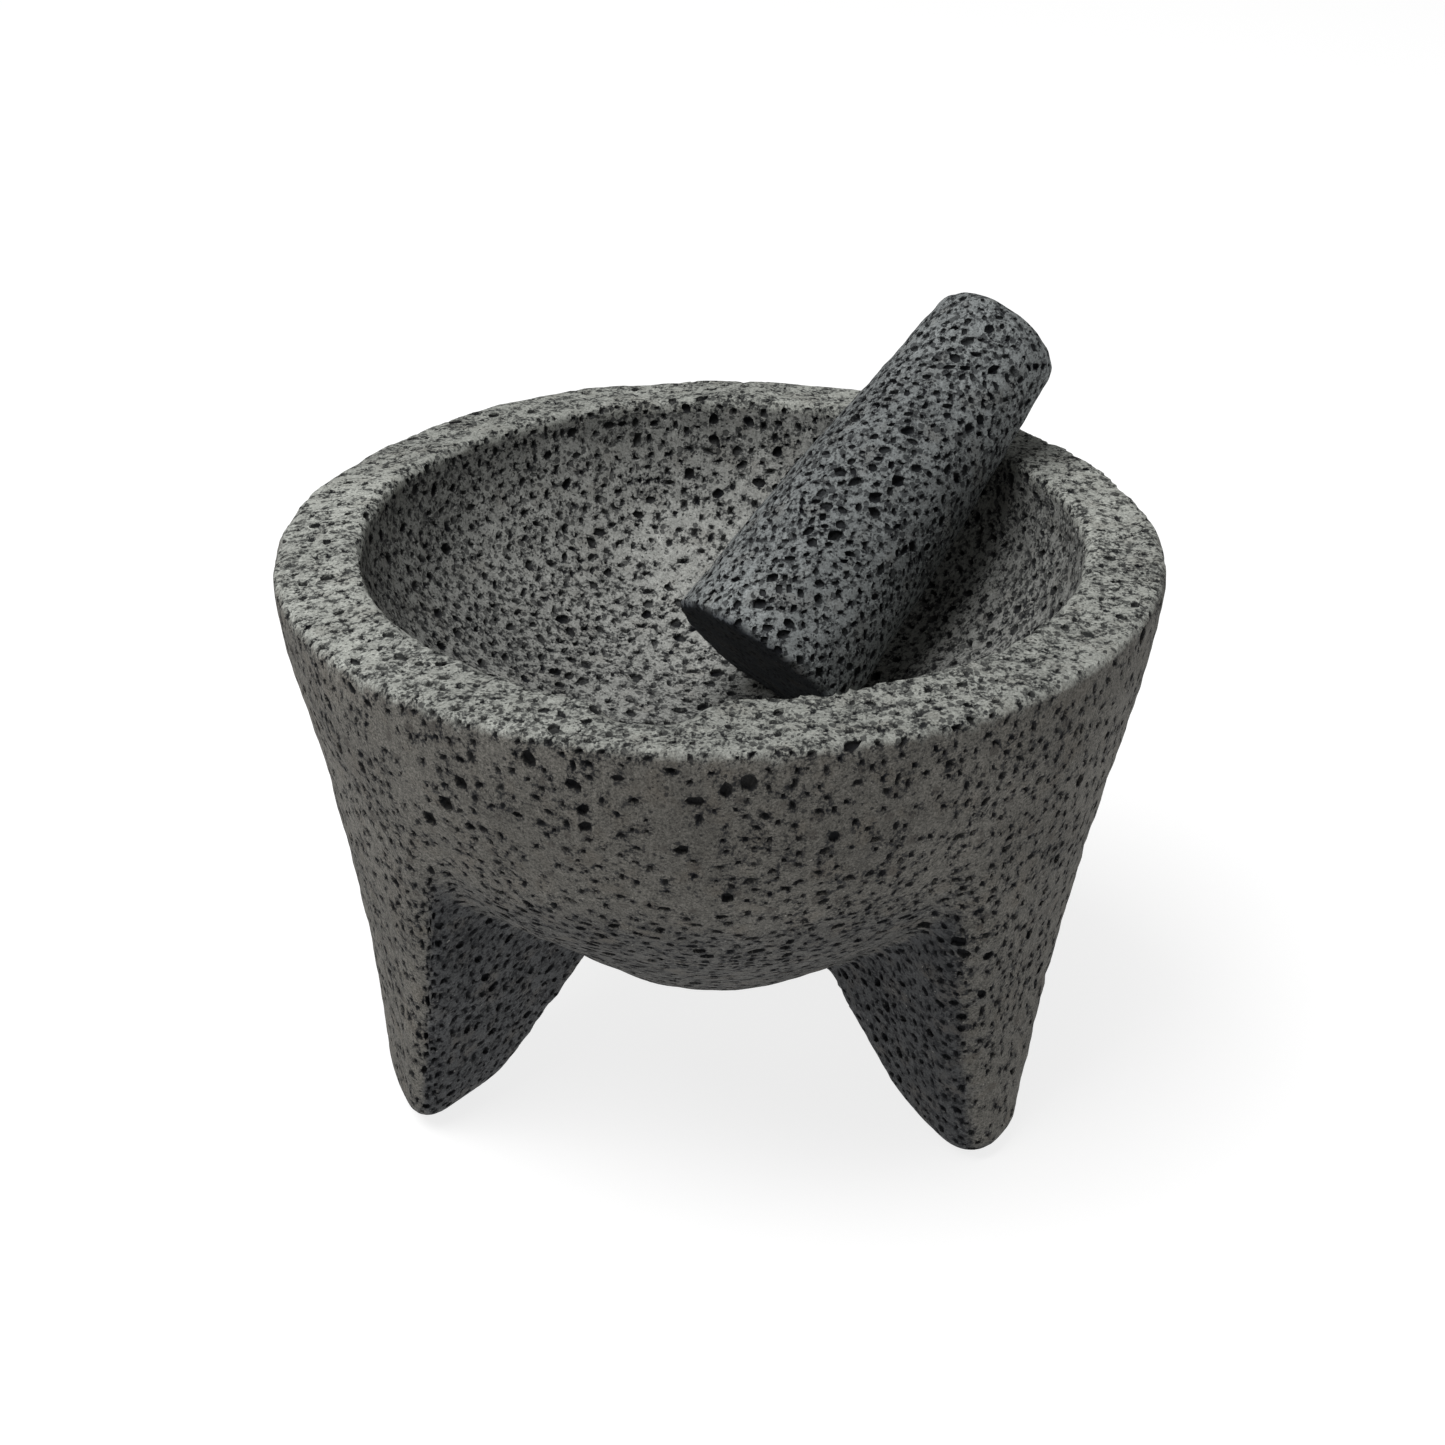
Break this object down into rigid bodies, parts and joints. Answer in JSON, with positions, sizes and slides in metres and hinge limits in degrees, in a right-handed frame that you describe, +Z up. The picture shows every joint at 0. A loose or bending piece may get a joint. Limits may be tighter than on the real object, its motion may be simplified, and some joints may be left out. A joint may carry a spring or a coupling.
{
  "type": "molcajete",
  "caption": "Round flared stone mortar on short wedge legs, with a tapered stone pestle leaning in its bowl, for grinding chillies, spices and salsas.",
  "frame": {"origin": "on the floor, under the centre of the bowl", "axes": "+Z up, +Y towards the leg at the back, +X to the right"},
  "size_m": [0.205, 0.205, 0.1838],
  "materials": {
    "bowl_basalt": "hand-cut vesicular basalt, matt and rough, with open pores",
    "pestle_basalt": "hand-cut vesicular basalt, a little finer and bluer than the bowl, with open pores"
  },
  "bodies": {
    "bowl": {"bowl": "bowl_basalt"},
    "pestle": {"pestle": "pestle_basalt"}
  },
  "joints": [
    {"name": "pestle_lift", "type": "slide", "parent": "bowl", "child": "pestle", "axis": [0, 0, 1], "range_m": [0, 0.15]}
  ]
}
